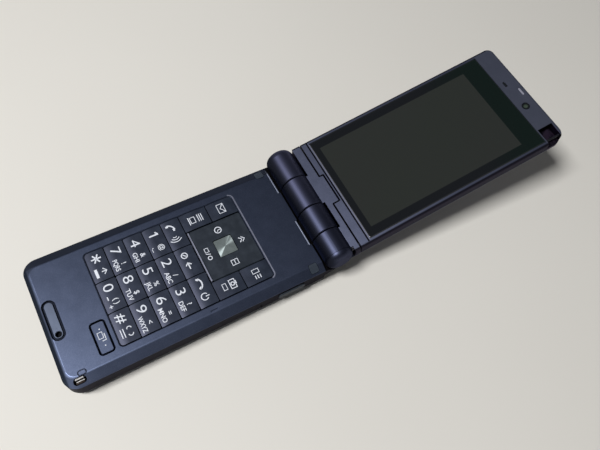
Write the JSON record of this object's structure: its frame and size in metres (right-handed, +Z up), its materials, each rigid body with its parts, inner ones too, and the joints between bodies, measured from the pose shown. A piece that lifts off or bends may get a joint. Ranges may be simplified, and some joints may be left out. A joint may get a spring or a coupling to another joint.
{
  "type": "flip phone",
  "caption": "Two-way opening flip phone lying open: a keypad half, a barrel hinge, and a display half that also swings sideways on its right edge.",
  "frame": {"origin": "on the flat underside of the keypad half, on its centreline, halfway between the microphone end and the hinge axis", "axes": "+X to the right of someone reading the keys, +Y from the microphone end to the hinge and on to the display, +Z up out of the keys"},
  "size_m": [0.0504, 0.1973, 0.0332],
  "materials": {
    "case_metal": "satin blue-black paint over a light alloy",
    "lid_plastic": "satin blue-black paint",
    "cover_plastic": "satin blue-black paint",
    "key_black": "dark keycap",
    "nav_metal": "bright faceted cap",
    "bright_trim": "plated strip",
    "mic_metal": "blue-grey anodised plate",
    "steel": "plain steel",
    "inner_metal": "plain",
    "rubber": "matte silicone",
    "circuit_board": "solder mask",
    "inner_plastic": "plain",
    "battery": "dark sleeve",
    "screen_glass": "dark polished window",
    "panel": "dark liquid crystal panel",
    "dark_window": "dark polished window"
  },
  "bodies": {
    "base": {"keypad_case": "case_metal", "rear_case": "case_metal", "battery_pack": "battery", "main_board": "circuit_board", "shield_cans": "steel", "key_mat": "rubber", "microphone": "inner_plastic", "mic_plate": "mic_metal", "loudspeaker": "inner_metal", "vibration_motor": "steel", "camera_module": "inner_metal", "camera_window": "dark_window", "connector_socket": "steel", "card_socket": "steel", "hinge_bumpers": "rubber", "keypad_trim": "bright_trim", "case_screws": "steel", "hinge_unit": "steel"},
    "arm": {"hinge_arm": "case_metal", "hinge_shaft": "steel", "swing_pin": "steel"},
    "display": {"display_front": "lid_plastic", "display_back": "lid_plastic", "glass_window": "screen_glass", "lcd_panel": "panel", "display_board": "circuit_board", "receiver": "inner_metal", "receiver_slot": "bright_trim", "front_camera": "inner_plastic", "sensor_window": "dark_window", "corner_pin": "steel", "sub_window": "dark_window"},
    "battery_cover": {"battery_cover": "cover_plastic"},
    "side_cover": {"side_cover": "cover_plastic"},
    "side_key": {"side_key": "cover_plastic"},
    "latch_hook": {"latch_hook": "steel"},
    "lock_plunger": {"lock_plunger": "inner_plastic"},
    "nav_rocker": {"nav_rocker": "inner_plastic"},
    "nav_ring": {"nav_ring": "key_black"},
    "key_1": {"key_1": "key_black"},
    "key_2": {"key_2": "key_black"},
    "key_3": {"key_3": "key_black"},
    "key_4": {"key_4": "key_black"},
    "key_5": {"key_5": "key_black"},
    "key_6": {"key_6": "key_black"},
    "key_7": {"key_7": "key_black"},
    "key_8": {"key_8": "key_black"},
    "key_9": {"key_9": "key_black"},
    "key_0": {"key_0": "key_black"},
    "key_star": {"key_star": "key_black"},
    "key_hash": {"key_hash": "key_black"},
    "key_call": {"key_call": "key_black"},
    "key_clear": {"key_clear": "key_black"},
    "key_end": {"key_end": "key_black"},
    "key_mail": {"key_mail": "key_black"},
    "key_menu": {"key_menu": "key_black"},
    "key_guide": {"key_guide": "key_black"},
    "key_camera": {"key_camera": "key_black"},
    "key_multi": {"key_multi": "key_black"},
    "nav_centre": {"nav_centre": "nav_metal"}
  },
  "joints": [
    {"name": "lid_hinge", "type": "hinge", "parent": "base", "child": "arm", "pos_m": [0, 0.04985, 0.0124], "axis": [1, 0, 0], "range_deg": [0, 168.7]},
    {"name": "lid_swing", "type": "hinge", "parent": "arm", "child": "display", "pos_m": [0.0222, 0.05966, 0.01436], "axis": [0, -0.9806, -0.1959], "range_deg": [0, 110]},
    {"name": "battery_cover_slide", "type": "slide", "parent": "base", "child": "battery_cover", "axis": [0, -1, 0], "range_m": [0, 0.003]},
    {"name": "side_cover_hinge", "type": "hinge", "parent": "base", "child": "side_cover", "pos_m": [0.0237, 0.01735, 0.0034], "axis": [0, 0, 1], "range_deg": [0, 100]},
    {"name": "side_key_press", "type": "slide", "parent": "base", "child": "side_key", "axis": [-1, 0, 0], "range_m": [0, 0.0003], "stiffness_N_per_m": 3000},
    {"name": "latch_rise", "type": "slide", "parent": "base", "child": "latch_hook", "axis": [0, 0, 1], "range_m": [0, 0.0029], "stiffness_N_per_m": 150},
    {"name": "lock_plunger_press", "type": "slide", "parent": "base", "child": "lock_plunger", "axis": [0, 0, -1], "range_m": [0, 0.0003]},
    {"name": "nav_rocker_tilt", "type": "hinge", "parent": "base", "child": "nav_rocker", "pos_m": [0, 0.01585, 0.00895], "axis": [0, 1, 0], "range_deg": [-1.2, 1.2], "stiffness_Nm_per_rad": 0.5},
    {"name": "nav_ring_tilt", "type": "hinge", "parent": "nav_rocker", "child": "nav_ring", "pos_m": [0, 0.01585, 0.00895], "axis": [1, 0, 0], "range_deg": [-1.2, 1.2], "stiffness_Nm_per_rad": 0.5},
    {"name": "key_1_press", "type": "slide", "parent": "base", "child": "key_1", "axis": [0, 0, -1], "range_m": [0, 0.0003], "stiffness_N_per_m": 3000},
    {"name": "key_2_press", "type": "slide", "parent": "base", "child": "key_2", "axis": [0, 0, -1], "range_m": [0, 0.0003], "stiffness_N_per_m": 3000},
    {"name": "key_3_press", "type": "slide", "parent": "base", "child": "key_3", "axis": [0, 0, -1], "range_m": [0, 0.0003], "stiffness_N_per_m": 3000},
    {"name": "key_4_press", "type": "slide", "parent": "base", "child": "key_4", "axis": [0, 0, -1], "range_m": [0, 0.0003], "stiffness_N_per_m": 3000},
    {"name": "key_5_press", "type": "slide", "parent": "base", "child": "key_5", "axis": [0, 0, -1], "range_m": [0, 0.0003], "stiffness_N_per_m": 3000},
    {"name": "key_6_press", "type": "slide", "parent": "base", "child": "key_6", "axis": [0, 0, -1], "range_m": [0, 0.0003], "stiffness_N_per_m": 3000},
    {"name": "key_7_press", "type": "slide", "parent": "base", "child": "key_7", "axis": [0, 0, -1], "range_m": [0, 0.0003], "stiffness_N_per_m": 3000},
    {"name": "key_8_press", "type": "slide", "parent": "base", "child": "key_8", "axis": [0, 0, -1], "range_m": [0, 0.0003], "stiffness_N_per_m": 3000},
    {"name": "key_9_press", "type": "slide", "parent": "base", "child": "key_9", "axis": [0, 0, -1], "range_m": [0, 0.0003], "stiffness_N_per_m": 3000},
    {"name": "key_0_press", "type": "slide", "parent": "base", "child": "key_0", "axis": [0, 0, -1], "range_m": [0, 0.0003], "stiffness_N_per_m": 3000},
    {"name": "key_star_press", "type": "slide", "parent": "base", "child": "key_star", "axis": [0, 0, -1], "range_m": [0, 0.0003], "stiffness_N_per_m": 3000},
    {"name": "key_hash_press", "type": "slide", "parent": "base", "child": "key_hash", "axis": [0, 0, -1], "range_m": [0, 0.0003], "stiffness_N_per_m": 3000},
    {"name": "key_call_press", "type": "slide", "parent": "base", "child": "key_call", "axis": [0, 0, -1], "range_m": [0, 0.0003], "stiffness_N_per_m": 3000},
    {"name": "key_clear_press", "type": "slide", "parent": "base", "child": "key_clear", "axis": [0, 0, -1], "range_m": [0, 0.0003], "stiffness_N_per_m": 3000},
    {"name": "key_end_press", "type": "slide", "parent": "base", "child": "key_end", "axis": [0, 0, -1], "range_m": [0, 0.0003], "stiffness_N_per_m": 3000},
    {"name": "key_mail_press", "type": "slide", "parent": "base", "child": "key_mail", "axis": [0, 0, -1], "range_m": [0, 0.0003], "stiffness_N_per_m": 3000},
    {"name": "key_menu_press", "type": "slide", "parent": "base", "child": "key_menu", "axis": [0, 0, -1], "range_m": [0, 0.0003], "stiffness_N_per_m": 3000},
    {"name": "key_guide_press", "type": "slide", "parent": "base", "child": "key_guide", "axis": [0, 0, -1], "range_m": [0, 0.0003], "stiffness_N_per_m": 3000},
    {"name": "key_camera_press", "type": "slide", "parent": "base", "child": "key_camera", "axis": [0, 0, -1], "range_m": [0, 0.0003], "stiffness_N_per_m": 3000},
    {"name": "key_multi_press", "type": "slide", "parent": "base", "child": "key_multi", "axis": [0, 0, -1], "range_m": [0, 0.0003], "stiffness_N_per_m": 3000},
    {"name": "nav_centre_press", "type": "slide", "parent": "base", "child": "nav_centre", "axis": [0, 0, -1], "range_m": [0, 0.0003], "stiffness_N_per_m": 3000}
  ],
  "couplings": [
    {"joint": "lock_plunger_press", "follows": "latch_rise", "ratio": 0.1034}
  ]
}
